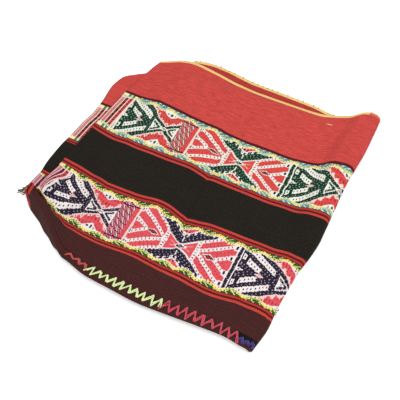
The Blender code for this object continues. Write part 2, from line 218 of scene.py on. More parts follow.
# The inner panel's front double runs down its left end: its width by distance from the seam.
END_DOUBLE = ((18, 1), (22, 9), (28, 15), (36, 9), (58, 6))
END_DOUBLE_X = -138.0

# Between these distances from the seam the first band's places pass into the second's.
BANDS_PART = (110, 140)
# Where the figures of the chart lie along each band: chart place, X in the first band, and X in
# the second.
FIGURE_PLACES = (
    (-160, -160, -152), (-138.5, -139.5, -129), (-118.5, -122.5, -110.2), (-103, -105, -95.6),
    (-95.8, -97.2, -89.5), (-81.5, -82.5, -75), (-65.6, -65.6, -59), (-44.7, -44.7, -38.5),
    (-12, -12, -1.6), (9.6, 9.6, 19.3), (28.5, 28.5, 38), (66.7, 66.7, 73), (71, 71, 78),
    (106.5, 106.5, 109.6), (113.7, 113.7, 115.7), (128, 128, 130), (150, 150, 152),
)

# Old creases and dents of the upper layers: from X, Y to X, Y, half width, depth, minus for a dent.
CREASES = (
    (6, -101, -7, 90, 2.6, -1.5),
    (124, 176, 112, 112, 3, -1.2),
)

# Rows across each panel by distance from the seam, as stretches that end there in so many steps.
OUTER_STRETCHES = ((50, 36), (240, 84), (288, 26))
INNER_STRETCHES = ((FOLD_STARTS, 6), (FOLD_ENDS, 8), (60, 36), (288, 76))
SEAM_HALF_GAP = 0.2
# Columns along the cloth: to the fold, round it, and back underneath.
TOP_STEPS, TURN_STEPS, BOTTOM_STEPS = 160, 16, 26


def smooth_through(stations, values, at):
    """A smooth curve through a table that never overshoots it; values or at may be arrays."""
    stations, values = np.asarray(stations, float), np.asarray(values, float)
    at = np.clip(at, stations[0], stations[-1])
    step = np.diff(stations)
    rise = np.diff(values, axis=0) / step.reshape(-1, *[1] * (values.ndim - 1))
    before, after = rise[:-1], rise[1:]
    turns = before * after <= 0
    total = np.where(turns, 1.0, before + after)
    middle = np.where(turns, 0.0, 2 * before * after / total)
    slope = np.concatenate([rise[:1], middle, rise[-1:]])
    i = np.clip(np.searchsorted(stations, at) - 1, 0, len(step) - 1)
    t = (at - stations[i]) / step[i]
    return (
        values[i] * (1 + 2 * t) * (1 - t) ** 2
        + values[i + 1] * t * t * (3 - 2 * t)
        + step[i] * (slope[i] * t * (1 - t) ** 2 - slope[i + 1] * t * t * (1 - t))
    )


def through(table, at, column=1):
    """The value of one column of a table of rows at a place of its first column."""
    return smooth_through([row[0] for row in table], [row[column] for row in table], at)


def ease(value, start, end):
    """0 before start, 1 after end, and smooth between them."""
    t = np.clip((value - start) / (end - start), 0.0, 1.0)
    return t * t * (3 - 2 * t)


def line_y(half, line, x):
    """Y of one named line of a half of the cloth at this x."""
    return through(half, x, HALF_COLUMNS.index(line))


def fold_turn(distance):
    """How far round the folded front edge a point lies, in radians."""
    past = min(max(-distance, FOLD_STARTS), FOLD_ENDS)
    return (past - FOLD_STARTS) / FOLD_RADIUS


def depth_below_outer(distance):
    """How deep a point lies under the outer layer of its half of the cloth."""
    return FOLD_RADIUS * (1 - math.cos(fold_turn(distance)))


def flat_y(half, distance, x):
    """Y of a point of the cloth as it lies folded, before the ridge is raised."""
    if distance >= 0:
        lines = [line_y(half, line, x) for line in HALF_COLUMNS[2:]]
        return smooth_through(STRIPES, lines, distance)
    turn_starts = line_y(half, "front", x) + FOLD_RADIUS
    if -distance <= FOLD_STARTS:
        seam = line_y(half, "seam", x)
        return seam + distance / FOLD_STARTS * (seam - turn_starts)
    if -distance <= FOLD_ENDS:
        return turn_starts - FOLD_RADIUS * math.sin(fold_turn(distance))
    share = (-distance - FOLD_ENDS) / (PANEL_WIDTH - FOLD_ENDS)
    return turn_starts + share * (INNER_EDGE_Y - turn_starts)


def puff(y):
    """How far the right-hand fold puffs up at this Y."""
    return through(FOLD_PUFF, y)


def outer_layer_height(x, y):
    """Height of the middle of the top layer, before the ridge is raised."""
    on_stack = ease(x, STACK_STARTS, STACK_FULL)
    height = TOP_LAYER_OFF_STACK + (TOP_LAYER - TOP_LAYER_OFF_STACK) * on_stack
    from_crease = np.clip((x - CREASE_X - CREASE_LEAN * y) / ARCH_SPAN, -1, 1)
    strength = ARCH_AT_FRONT + (1 - ARCH_AT_FRONT) * ease(y, ARCH_STARTS, ARCH_FULL)
    height = height + ARCH_HEIGHT * strength * abs(np.sin(math.pi * from_crease)) ** ARCH_POWER
    puff_starts = through(PUFF_START, y)
    return height + puff(y) * ease(x, puff_starts, puff_starts + PUFF_WIDTH)


def edge_drop(x, y, height):
    """How far the open edge of the outer panel sinks where nothing lies under it."""
    rests_at = LOWEST_LAYER + LAYER_PITCH * ease(x, STACK_STARTS, STACK_FULL)
    sinks = ease(y, EDGE_DROP_STARTS, EDGE_DROP_ENDS)
    return (height - rests_at) * (sinks * (1 - ease(x, EDGE_DROP_FADES, EDGE_DROP_GONE)))


def flat_point(distance, x):
    """Y and height of points of the top half before the ridge is raised."""
    y = flat_y(TOP_HALF, distance, x)
    height = outer_layer_height(x, y)
    if distance > 0:
        height = height - edge_drop(x, y, height)
    return y, height - depth_below_outer(distance)


def ridge_push(distance, x):
    """How far the ridge pushes one row of the cloth back and up, at each x."""
    pushes = [(RIDGE_ENDS_X, 0.0, 0.0)]
    for station, rows in RIDGE.items():
        back = up = 0.0
        if rows[0][0] < distance < rows[-1][0]:
            y, z = flat_point(distance, station)
            back, up = through(rows, distance, 1) - y, through(rows, distance, 2) - z
        pushes.append((station, back, up))
    pushes.sort()
    return through(pushes, x, 1), through(pushes, x, 2)


def outer_radius(y):
    """Radius of the right-hand fold at the middle of the outer layer."""
    return (TOP_LAYER + puff(y) - LOWEST_LAYER) / 2


def turn_y(distance):
    """Y of one row of the cloth where it reaches the right-hand fold."""
    return flat_y(TOP_HALF, distance, TOP_HALF[-1][0])


def turn_x(distance):
    """X of the centre of the right-hand fold for one row of the cloth."""
    y = turn_y(distance)
    return through(RIGHT_FOLD, y) - LOWEST_LAYER - outer_radius(y)


def top_points(distance, x):
    """Y and height of points of the top half at these places along the cloth."""
    y, z = flat_point(distance, x)
    back, up = ridge_push(distance, x)
    y, z = y + back, z + up
    for x0, y0, x1, y1, half_width, depth in CREASES:
        length = math.hypot(x1 - x0, y1 - y0)
        along = ((x - x0) * (x1 - x0) + (y - y0) * (y1 - y0)) / length
        aside = ((x - x0) * (y1 - y0) - (y - y0) * (x1 - x0)) / length
        fade = ease(along, 0.0, 0.3 * length) * (1 - ease(along, 0.7 * length, length))
        z = z + depth * fade * np.exp(-((aside / half_width) ** 2))
    return y, np.maximum(z, LOWEST_LAYER)


def cloth_row(distance):
    """One row of the cloth: its points, its place along the chart and how far it is from an end."""
    centre = turn_x(distance)
    share = np.linspace(0, 1, TOP_STEPS, endpoint=False)
    x = SEAM_LEFT_END + share * (centre - SEAM_LEFT_END)
    x = x + (through(LEFT_ENDS, distance) - SEAM_LEFT_END) * (1 - share) ** LEFT_SHIFT_POWER
    top = np.stack([x, *top_points(distance, x)], axis=1)

    angle = np.linspace(0, math.pi, TURN_STEPS, endpoint=False)
    top_y, under_y = turn_y(distance), flat_y(BOTTOM_HALF, distance, BOTTOM_HALF[-1][0])
    around = outer_radius(top_y)
    radius = around - depth_below_outer(distance)
    turn = np.stack([
        centre + radius * np.sin(angle),
        top_y + (under_y - top_y) * angle / math.pi,
        LOWEST_LAYER + around + radius * np.cos(angle),
    ], axis=1)

    under = np.linspace(centre, BOTTOM_LEFT_END, BOTTOM_STEPS + 1)
    height = np.full_like(under, LOWEST_LAYER + depth_below_outer(distance))
    bottom = np.stack([under, flat_y(BOTTOM_HALF, distance, under), height], axis=1)

    points = np.concatenate([top, turn, bottom])
    back = centre + math.pi * around + centre - under
    along = np.concatenate([x, centre + around * angle, back])
    from_end = np.concatenate([
        x - x[0], np.full(TURN_STEPS, centre - x[0]), under - BOTTOM_LEFT_END,
    ])
    return points, along, from_end


def chart_places(distance, along, from_end):
    """Places of a row on the chart: along the figures, across the stripes, from an end."""
    across = abs(distance)
    share = ease(across, *BANDS_PART)
    places = np.asarray(FIGURE_PLACES)
    stations = places[:, 1] + (places[:, 2] - places[:, 1]) * share
    chart = smooth_through(stations, places[:, 0], along) + np.maximum(along - stations[-1], 0)
    if distance < 0:
        lines = [np.full_like(along, place) for place in CHART_LINES]
    else:
        lines = [through(WOVEN_LINES, along, k + 1) for k in range(len(CHART_LINES))]
        drawn = 1 - ease(across, DRAWN_FROM, DRAWN_TO)
        chart = chart + through(DRAWN_SHIFT, across) * (1 - ease(along, *DRAWN_X))
        from_end = from_end * (1 + DRAWN_STRIPES * drawn)
    lines = np.stack([np.zeros_like(along), *lines, np.full_like(along, PANEL_WIDTH)])
    charted = (0.0, *CHART_LINES, PANEL_WIDTH)
    k = np.clip((lines[:-1] <= across).sum(axis=0) - 1, 0, len(charted) - 2)
    columns = np.arange(len(along))
    low, high = lines[k, columns], lines[k + 1, columns]
    c = np.asarray(charted)
    woven = c[k] + (across - low) / (high - low) * (c[k + 1] - c[k])
    if distance < 0 and END_DOUBLE[0][0] < across < END_DOUBLE[-1][0]:
        outside, inside = CHART_LINES[:2]
        double = inside - (inside - outside) * from_end / through(END_DOUBLE, across)
        woven = np.where(along < END_DOUBLE_X, np.maximum(double, across / 4), woven)
    return chart, woven, from_end


def rows_of(stretches):
    """Distances of the rows from the seam, in stretches of equal steps."""
    rows = [SEAM_HALF_GAP]
    for end, count in stretches:
        rows += list(np.linspace(rows[-1], end, count + 1)[1:])
    return rows


def sheet_mesh(name, rows):
    """An open grid laid on the folds of the cloth, with its chart as a UV map in millimetres."""
    points, charts, ends = [], [], []
    for distance in rows:
        row, along, from_end = cloth_row(distance)
        points.append(row)
        *chart, end = chart_places(distance, along, from_end)
        charts.append(np.stack(chart, axis=1))
        ends.append(end)
    points, charts, ends = np.array(points), np.array(charts), np.array(ends)
    across, count = points.shape[:2]
    points = (points - (MIDDLE_X, MIDDLE_Y, 0.0)) * METRES
    index = np.arange(across * count).reshape(across, count)
    faces = np.stack([index[:-1, :-1], index[:-1, 1:], index[1:, 1:], index[1:, :-1]], axis=-1)
    mesh = bpy.data.meshes.new(name)
    mesh.from_pydata(points.reshape(-1, 3).tolist(), [], faces.reshape(-1, 4).tolist())
    corners = np.zeros(len(mesh.loops), int)
    mesh.loops.foreach_get("vertex_index", corners)
    chart = mesh.uv_layers.new(name="chart")
    chart.data.foreach_set("uv", charts.reshape(-1, 2)[corners].astype(np.float32).ravel())
    from_end = mesh.attributes.new("from_end", "FLOAT", "POINT")
    from_end.data.foreach_set("value", ends.ravel().astype(np.float32))
    mesh.shade_smooth()
    return mesh


def put(name, data):
    """A new object in the scene."""
    made = bpy.data.objects.new(name, data)
    bpy.context.scene.collection.objects.link(made)
    return made


def add_piece(name, mesh):
    """Puts a finished mesh in the scene, resting with the object."""
    piece = put(name, mesh)
    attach(piece, "root")
    return piece


def thicken(piece, thickness):
    """Gives an open sheet the thickness of the cloth, half to each side."""
    wall = piece.modifiers.new("cloth thickness", "SOLIDIFY")
    wall.thickness = thickness
    wall.offset = 0.0


def feed(node, inputs):
    """Sets inputs of a node, each to a plain value or to the output that feeds it."""
    for key, value in inputs.items():
        value = value.socket if isinstance(value, Amount) else value
        if isinstance(value, bpy.types.NodeSocket):
            node.id_data.links.new(value, node.inputs[key])
        else:
            node.inputs[key].default_value = value


def add_node(tree, kind, inputs=None, **settings):
    """A node with these settings and inputs."""
    node = tree.nodes.new(kind)
    for key, value in settings.items():
        setattr(node, key, value)
    feed(node, inputs or {})
    return node


def maths(operation):
    """A method of an amount that puts one maths node after it."""
    return lambda self, *others: self.work(operation, *others)


class Amount:
    """A number in a node tree. Sums, products and comparisons of it add nodes."""

    def __init__(self, tree, socket):
        self.tree, self.socket = tree, socket

    def work(self, operation, *others):
        values = dict(enumerate((self, *others)))
        node = add_node(self.tree, "ShaderNodeMath", values, operation=operation)
        return Amount(self.tree, node.outputs[0])

    __add__, __sub__, __mul__ = maths("ADD"), maths("SUBTRACT"), maths("MULTIPLY")
    __truediv__, __abs__, floor = maths("DIVIDE"), maths("ABSOLUTE"), maths("FLOOR")
    under, over, most = maths("LESS_THAN"), maths("GREATER_THAN"), maths("MAXIMUM")

    def __rsub__(self, other):
        return (self * -1.0).work("ADD", other)

    def cycle(self, length):
        """Where it lies in a repeat of this length, from 0 to 1."""
        return (self / length).work("FRACT")

    def stepped(self, length):
        """It in whole steps of this length, taken at the middle of each."""
        return (self / length).floor() * length + length / 2

    def between(self, low, high):
        """1 inside a range and 0 outside it."""
        return abs(self - (low + high) / 2).under((high - low) / 2)


# The sockets of a mix node that hold the share, the two colours and the result.
MIX_SHARE, MIX_FIRST, MIX_SECOND, MIX_RESULT = 0, 6, 7, 2


def mixed(tree, share, *colours):
    """A colour between two colours, each an output or a plain colour."""
    first, second = (
        each if isinstance(each, bpy.types.NodeSocket) else (*each, 1.0) for each in colours
    )
    values = {MIX_SHARE: share, MIX_FIRST: first, MIX_SECOND: second}
    return add_node(tree, "ShaderNodeMix", values, data_type="RGBA").outputs[MIX_RESULT]


class Chart:
    """The woven chart: shapes are painted one over the other, from the ground up."""

    def __init__(self, tree, colours, ground):
        self.tree, self.colours, self.paint = tree, colours, colours[ground]

    def lay(self, shape, key):
        self.paint = mixed(self.tree, shape, self.paint, self.colours[key])

    def lay_all(self, shape, *layers):
        """Several parts of one shape, each with its colour."""
        for part, key in layers:
            self.lay(shape * part, key)

    def lozenges(self, along, across, *layers):
        """Lozenges one inside the other: half the width and the length of each, and its colour."""
        for width, length, key in layers:
            self.lay((across / width + along / length).under(1.0), key)

    def chain(self, where, along, across, low, high, hole):
        """A chain of woven rings: light, with a hole in each ring and a nick between rings."""
        place = along.cycle(RING)
        off = abs(across - (low + high) / 2)
        self.lay(where * (off + place.over(RING_HOLE[1]) * 0.5).under((high - low) / 2), "light")
        self.lay(where * place.between(*RING_HOLE) * off.under(1.05), hole)


# How much brighter the studio light makes a colour than the wool itself.
STUDIO_LIGHT = 1.45


def linear(*rgb):
    """The wool's own colour for one seen under the studio light, given from 0 to 255."""
    seen = (((c / 255 + 0.055) / 1.055) ** 2.4 if c > 10 else c / 255 / 12.92 for c in rgb)
    return tuple(c / STUDIO_LIGHT for c in seen)


# The chart of one band, in millimetres of cloth. The band is the same on both sides of its middle.
BAND_MIDDLES = (63.7, 187.2)
BETWEEN_BANDS = 125.0
THREAD = 0.7
PICK = 1.1
RING = 3 * PICK
# The part of each ring that its hole takes up; the nick comes after it.
RING_HOLE = (0.33, 0.66)
SPECK_ROWS = 3.3
RED_MIDDLE, RED_HALF = 9.6, 55.4
DARK_START = -138.5
DARK_REPEAT = 209.5
HOURGLASS = 57.0
STEEP, GENTLE, OUTLINE_SLOPE = 0.65, 0.57, 0.73
# How far apart the teeth of the red and of the dark figures are.
RED_TEETH, DARK_TEETH = 5.9, 6.6
ARCH_REPEATS = (25.9, 24.0)
ARCH_TOP = -7.2
COLUMN, COLUMN_TURNS_RED = (-66.0, -46.2), -51.0

# Light chains of rings: across the slant from and to, along the figure from and to.
RED_CHAINS = ((8.7, 12.9, 15.4, 57.0), (-3.4, 1.4, 19.0, 57.0), (-17.2, -12.4, 38.0, 57.0))
DARK_CHAINS = ((25.7, 33.0, -0.5, 36.4), (13.5, 20.3, 0.5, 22.4))
# Hooks at the open end of each red arrow, across the band.
RED_HOOKS = (8.5, 21.6)

# Stripes across the end of a band: from and to, colour, and the colour, slant and repeat of marks.
END_STRIPES_WIDTH = 17.4
END_STRIPES = (
    (2.0, 5.4, "pink", "wine", 0.4, 1.8),
    (6.4, 9.8, "wine", "dark", 0.0, 6.6),
    (11.0, 14.8, "rose", "wine", 0.5, 3.3),
)

RED_FIELD = (220.4, 285.0)
# The plain stripes: distances from the seam from and to, and the colour.
FIELDS = (
    (-1.0, 26.6, "maroon"), (26.6, 29.2, "coral"), (29.2, 31.4, "deep_red"), (31.4, 33.4, "red"),
    (94.0, 96.0, "red"), (96.0, 98.2, "deep_red"), (98.2, 100.8, "coral"), (100.8, 149.5, "black"),
    (149.5, 152.1, "coral"), (152.1, 154.3, "deep_red"), (154.3, 156.6, "red"),
    (217.3, 220.4, "deep_maroon"), (*RED_FIELD, "field_red"), (285.0, 290.0, "edge_yellow"),
)
# The stripes that show the twist of their threads, and its colour.
TWISTED = (
    (26.6, 29.2, "red"), (98.2, 100.8, "red"), (149.5, 152.1, "red"), (285.0, 290.0, "edge_shade"),
)
# From this place along the chart the cloth lies folded under, where its red is painted darker as
# shade.
UNDERSIDE_FROM = 170.0

# How far apart the warp threads and the picks are in the relief, the shift of the picks from
# thread to thread, and the depth.
RELIEF_THREAD, RELIEF_PICK, RELIEF_SHIFT, RELIEF_DEPTH = 1.4, 1.9, 0.9, 0.35
# Yarn is painted darker as shade in its grooves, and lighter as highlight on its strands.
GROOVE_SHADE, STRAND_HIGHLIGHT, YARN_GRAIN = 0.65, 1.25, 900.0


def specks(along, aside):
    """Small light marks in offset rows."""
    row = (aside / SPECK_ROWS).floor()
    place = (along + row * (RING / 2)).cycle(RING)
    return place.under(0.33) * aside.cycle(SPECK_ROWS).under(0.3)


def red_figures(chart, u, w):
    """The two red nested arrows that meet at the dark lozenge between them."""
    s = abs(u - RED_MIDDLE)
    p = w - (s - 15.3) * STEEP
    inside = s.under(RED_HALF + 1.6)
    chart.lay(inside, "dark")
    chart.lay(inside * specks(s, p), "speck")
    # The light toothed line over the dark ground, and the small red mountain at the border.
    peak = w - s * 0.72 - 16.0
    tooth = (s + 0.6).cycle(RED_TEETH)
    chart.lay_all(
        inside * s.under(21.5),
        ((peak + abs(tooth - 0.5).under(0.21) * 3.8).between(0.0, 20.0), "light"),
        ((peak + 1.6).between(-0.7, 0.7) * tooth.between(0.4, 0.6), "dark"),
        (peak.over(1.5), "rose"),
        (s.under(2.6) * w.between(19.6, 21.2), "hole"),
    )
    chart.lay(s.under(0.6) * w.between(17.0, 23.0), "pink")
    steps = s.cycle(RED_TEETH).between(0.3, 0.75) * 3.6
    chart.lay(inside * (w - 26.4 + steps).over(0.0) * s.over(19.0), "light")
    chart.lay(s.under(0.5) * w.between(6.4, 12.8), "light")
    # Each arrow: plain red stripes between chains of rings.
    arrow = inside * p.under(12.7)
    chart.lay(arrow, "rose")
    chart.lay(arrow * specks(s, p + 1.2), "rust")
    for low, high, start, end in RED_CHAINS:
        chart.chain(arrow * s.between(start, end), s, p, low, high, "red_hole")
    chart.chain(arrow * s.between(15.4, 19.8), w, s, 15.4, 19.8, "red_hole")
    # The middle figure: red bows with pale strokes, round a dark lozenge.
    chart.lay_all(
        s.under(15.4),
        (p.between(10.9, 12.7), "light"),
        (p.under(10.9), "rose"),
        ((w - (s - 3.0) * 0.36).between(-0.5, 0.7) * s.between(4.0, 12.0), "pink"),
    )
    chart.lozenges(s, w, (3.4, 7.6, "light"), (2.2, 5.2, "dark"), (0.9, 1.6, "speck"))
    chart.lozenges(abs(s - 32.0), w, (3.3, 8.0, "light"), (2.3, 6.4, "dusk"), (0.8, 4.0, "rust"))
    # Hooks at the open end, and the light and the pale upright beyond them.
    for middle in RED_HOOKS:
        off = abs(w - middle)
        chart.lay(s.between(51.0, RED_HALF) * off.under(3.2), "light")
        chart.lay(s.between(52.4, 54.2) * off.under(2.1), "dark")
    chart.lay(inside * s.over(RED_HALF) * u.over(0.0), "light")
    chart.lay(inside * s.over(RED_HALF - 1.4) * u.under(0.0), "pale")


def dark_figures(chart, u, w):
    """The dark nested arrow, its bar and the hourglass beyond it, which come twice along a band."""
    t = u - u.over(50.0) * DARK_REPEAT - DARK_START
    k = abs(t - HOURGLASS)
    outside = w - k * OUTLINE_SLOPE - 3.4
    inside = t.between(-5.0, 76.0)
    chart.lay(inside, "dark")
    p = w + t * GENTLE
    chart.lay(inside * specks(t, p + 0.4), "speck")
    chart.lay(t.between(-1.8, -0.6), "light")
    for low, high, start, end in DARK_CHAINS:
        chart.chain(t.between(start, end), t, p, low, high, "hole")
    # A gap after the first ring of each inner chain, a small spike, and the lozenge at the tip.
    chart.lay(t.between(3.4, 6.6) * p.between(13.0, 21.0), "dark")
    chart.lay(t.between(-0.6, 7.0) * (w + t * 0.34).under(2.3), "light")
    chart.lay(t.between(0.6, 2.2) * w.under(0.7), "dark")
    chart.lay(t.between(1.2, 2.6) * w.between(5.6, 8.4), "speck")
    chart.lozenges(abs(t - 23.0), w, (3.0, 7.2, "dusk"), (2.0, 5.6, "pale"), (1.0, 2.8, "pink"))
    # The hourglass: thick dark arms with light steps between them.
    chart.lay_all(
        k.under(15.2),
        (outside.between(-5.9, -4.5) * k.over(3.6), "light"),
        (outside.under(-4.5) * k.over(13.7), "light"),
        (outside.under(-9.0) * k.between(7.6, 15.2), "light"),
    )
    chart.lay(k.between(10.6, 11.9) * w.under(0.8), "hole")
    chart.lozenges(k, w, (2.9, 5.2, "light"), (1.3, 2.6, "dusk"), (0.8, 1.2, "pink"))
    # The red ground outside, with its light outline and pointed teeth, and the light notch from
    # the border, with a dark leaf in it.
    tooth = (k + 2.9).cycle(DARK_TEETH)
    reach = (1.0 - abs(tooth - 0.5) * 2.6) * 4.6
    rusty = k.cycle(RING).under(0.34) * (outside + k * 0.5).cycle(DARK_TEETH).under(0.6)
    ground = inside * outside.over(0.0) * k.under(34.0)
    chart.lay(ground, "pale")
    chart.lay_all(
        ground,
        ((outside - 1.5 - reach.most(0.0)).over(0.0), "rose"),
        ((outside - 2.9).between(-0.6, 0.6) * tooth.between(0.42, 0.58), "hole"),
        (rusty * outside.over(4.0), "rust"),
        ((w - k * 0.66 - 17.0).over(0.0) * k.under(9.5), "light"),
    )
    chart.lozenges(k, abs(w - 21.6), (2.8, 1.7, "dark"))
    chart.lay(k.between(3.2, 4.9) * w.between(21.2, 22.8), "dusk")


def hatched_column(chart, u, w, aside):
    """The column of slanting floats between the dark and the red figures."""
    floats = u + aside * 0.42
    breaks = (aside + u * 0.55).cycle(6.3).under(0.82)
    dark, red = u.under(COLUMN_TURNS_RED), u.over(COLUMN_TURNS_RED)
    column = u.between(*COLUMN)
    chart.lay(column, "wine")
    chart.lay_all(
        column,
        (floats.cycle(3.7).between(0.55, 0.8), "dusk"),
        (breaks * floats.cycle(1.85).under(0.42) * dark, "pink"),
        (breaks * (floats + 0.8).cycle(5.5).under(0.14), "light"),
        (red, "rose"),
        (red * specks(u, aside), "wine"),
        (w.between(20.4, 22.0), "dusk"),
    )


def end_stripes(chart, e, w):
    """The stripes across the end of a band, beside the edge where the loom bar was."""
    chart.lay(e.under(END_STRIPES_WIDTH), "pale")
    chart.lay(e.under(1.0), "wine")
    for low, high, key, marks, slant, repeat in END_STRIPES:
        chart.lay(e.between(low, high), key)
        chart.lay(e.between(low, high) * (w + e * slant).cycle(repeat).under(0.4), marks)
    chart.lay(e.between(12.0, 14.0) * w.cycle(6.6).under(0.3), "dark")


def band_border(chart, u, w, e):
    """The row of yellow arches along each side of a band."""
    far = u - ARCH_TOP
    left, right = ARCH_REPEATS
    phase = far * (far.over(0.0) * (1 / right - 1 / left) + 1 / left)
    rise = 1.0 - abs((phase + 0.5).cycle(1.0) - 0.5) * 2.0
    arch = w - rise * 3.8 - 24.0
    place = u.cycle(RING)
    strokes = (u + w * 1.2).cycle(RING)
    chart.lay_all(
        w.over(22.0),
        ((arch + place.over(RING_HOLE[1]) * 0.6).over(-1.7), "light"),
        (arch.over(-1.2), "yellow"),
        (arch.between(-0.1, 0.9) * place.between(*RING_HOLE), "olive"),
        (arch.over(-1.2) * rise.under(0.5) * strokes.under(0.34), "border"),
        (arch.over(1.6), "border"),
        (arch.over(1.6) * strokes.under(0.4), "border_dark"),
        (arch.over(2.0) * (u - w * 1.4).cycle(2 * RING).under(0.2), "cream"),
    )
    chart.lay_all(
        w.over(25.4),
        (e.under(END_STRIPES_WIDTH), "cream"),
        (e.between(6.6, 9.8), "end_green"),
        (e.between(11.6, 14.6), "end_green"),
    )
    chart.lay(w.over(29.6), "brown")


def new_material(name, inputs):
    """A material with these inputs. Returns it with its tree and its shader."""
    material = bpy.data.materials.new(name)
    material.use_nodes = True
    shader = material.node_tree.nodes["Principled BSDF"]
    feed(shader, inputs)
    return material, material.node_tree, shader


def new_wool(name, roughness=0.95, sheen=0.02):
    """A matt, slightly fuzzy finish."""
    return new_material(name, {
        "Roughness": roughness, "Sheen Weight": sheen, "Sheen Roughness": 0.55,
        "Specular IOR Level": 0.03,
    })


def relief(tree, height, strength, depth):
    """The bumps of a surface, of this depth in millimetres."""
    values = {"Strength": strength, "Distance": depth * METRES, "Height": height}
    return add_node(tree, "ShaderNodeBump", values).outputs["Normal"]


def noise(tree, vector, scale, detail, roughness=0.5):
    """Cloudy noise from 0 to 1."""
    values = {"Vector": vector, "Scale": scale, "Detail": detail, "Roughness": roughness}
    return Amount(tree, add_node(tree, "ShaderNodeTexNoise", values).outputs["Fac"])


def woven_noise(tree, x, y, detail, roughness):
    """Noise that stretches along the threads."""
    place = add_node(tree, "ShaderNodeCombineXYZ", {"X": x, "Y": y})
    return noise(tree, place.outputs["Vector"], 1.0, detail, roughness)


def woven_wool(name, plain, bands):
    """The panel's wool: the chart's colours on warp threads, with the weave as a fine relief."""
    material, tree, shader = new_wool(name)
    chart_map = add_node(tree, "ShaderNodeUVMap", uv_map="chart").outputs["UV"]
    parts = add_node(tree, "ShaderNodeSeparateXYZ", {"Vector": chart_map}).outputs
    u, v = Amount(tree, parts["X"]), Amount(tree, parts["Y"])
    end = add_node(tree, "ShaderNodeAttribute", attribute_name="from_end")
    e = Amount(tree, end.outputs["Fac"])

    wander = noise(tree, chart_map, 0.09, 1.0) - 0.5
    woven_u = (u + wander * 3.0).stepped(PICK)
    woven_v = (v + wander * 2.2).stepped(THREAD)
    second = v.over(BETWEEN_BANDS)
    to_middle = second * (BAND_MIDDLES[1] - BAND_MIDDLES[0]) + BAND_MIDDLES[0]
    w = abs(woven_v - to_middle)

    colours = {key: mixed(tree, second, *pair) for key, pair in bands.items()}
    chart = Chart(tree, plain | colours, "dark")
    red_figures(chart, woven_u, w)
    dark_figures(chart, woven_u, w)
    hatched_column(chart, u, w, v - to_middle)
    end_stripes(chart, e, w)
    band_border(chart, woven_u, w, e)
    v = v + wander * 0.7
    red_field = v.between(*RED_FIELD)
    for low, high, key in FIELDS:
        chart.lay(v.between(low, high), key)
    # Painted shade at the seam's right end, the yellow edge's narrow end, painted shade on the red
    # below.
    chart.lay(v.under(4.0) * u.over(98.0), "seam_fold_shade")
    chart.lay(v.between(285.0, 287.0) * u.between(121.0, 150.0), "field_red")
    chart.lay(red_field * u.over(UNDERSIDE_FROM), "shaded_red")
    twist = (u + abs(v - to_middle) * 1.1).cycle(2.2).under(0.36)
    for low, high, key in TWISTED:
        chart.lay(v.between(low, high) * twist, key)

    streaks = woven_noise(tree, u * 0.035, v * 0.6, 3.0, 0.6)
    fuzz = woven_noise(tree, u * 0.45, v * 0.8, 3.0, 0.75)
    # The ripples stand for the red field's ribs: in the relief, and in the colour as painted shade.
    ripples = (woven_noise(tree, u * 0.1, v * 0.85, 2.0, 0.6) - 0.5) * red_field
    # Light fibres stand out on the dark wool.
    chart.lay((fuzz - 0.52) * 0.11, "fibre")
    value = streaks * 0.6 + fuzz * 0.8 + ripples * 1.1 + 0.3
    shade = add_node(tree, "ShaderNodeHueSaturation", {"Color": chart.paint, "Value": value})

    threads = (v.cycle(RELIEF_THREAD) - 0.5) * 2.0
    threads = 1.0 - threads * threads
    picks = (u + (v / RELIEF_THREAD).floor() * RELIEF_SHIFT).cycle(RELIEF_PICK) - 0.5
    picks = 1.0 - picks * picks * 4.0
    height = threads * 0.5 + picks * 0.35 + fuzz * 0.7 + streaks * 0.5 + ripples * 2.5
    normal = relief(tree, height, 0.8, RELIEF_DEPTH)
    feed(shader, {"Base Color": shade.outputs["Color"], "Normal": normal})
    return material


def yarn_wool(name, colour):
    """One colour of twisted yarn, with painted shade in its grooves and painted highlight on its
    strands.
    """
    material, tree, shader = new_wool(name, 0.85, 0.35)
    place = add_node(tree, "ShaderNodeTexCoord").outputs["Object"]
    shade = noise(tree, place, YARN_GRAIN, 2.0)
    # The grooves' painted shade and the strands' painted highlight, mixed by the grain noise.
    dark = tuple(GROOVE_SHADE * c for c in colour)
    light = tuple(min(1.0, STRAND_HIGHLIGHT * c) for c in colour)
    normal = relief(tree, shade, 0.6, 0.3)
    feed(shader, {"Base Color": mixed(tree, shade, dark, light), "Normal": normal})
    return material


def surface_point(distance, x):
    """A point on the upper face of the top half, in metres."""
    y, z = top_points(distance, np.asarray(x, float))
    return Vector((x - MIDDLE_X, float(y) - MIDDLE_Y, float(z) + LOWEST_LAYER)) * METRES


def under_point(distance, x):
    """A point on the upper face of the bottom half, in metres."""
    y = float(flat_y(BOTTOM_HALF, distance, x))
    return Vector((x - MIDDLE_X, y - MIDDLE_Y, 2 * LOWEST_LAYER)) * METRES


def line_mesh(name, points, across):
    """A line of points, each with a direction across it, for yarn to follow."""
    mesh = bpy.data.meshes.new(name)
    mesh.from_pydata([tuple(p) for p in points], [(i, i + 1) for i in range(len(points) - 1)], [])
    side = mesh.attributes.new("across", "FLOAT_VECTOR", "POINT")
    side.data.foreach_set("vector", np.array(across, np.float32).ravel())
    return mesh


# How long the straight pieces of a stitch are, and how many sides a yarn has.
STITCH_STEP = 0.0011
STITCH_SIDES, END_SIDES = 6, 5
# A loose end goes from its start over a middle to its end, as shares of its length.
BEND = {"Start": (0.0, 0.0, 0.0), "Middle": (0.25, 0.0, 0.6), "End": (0.0, 0.2, 1.0)}


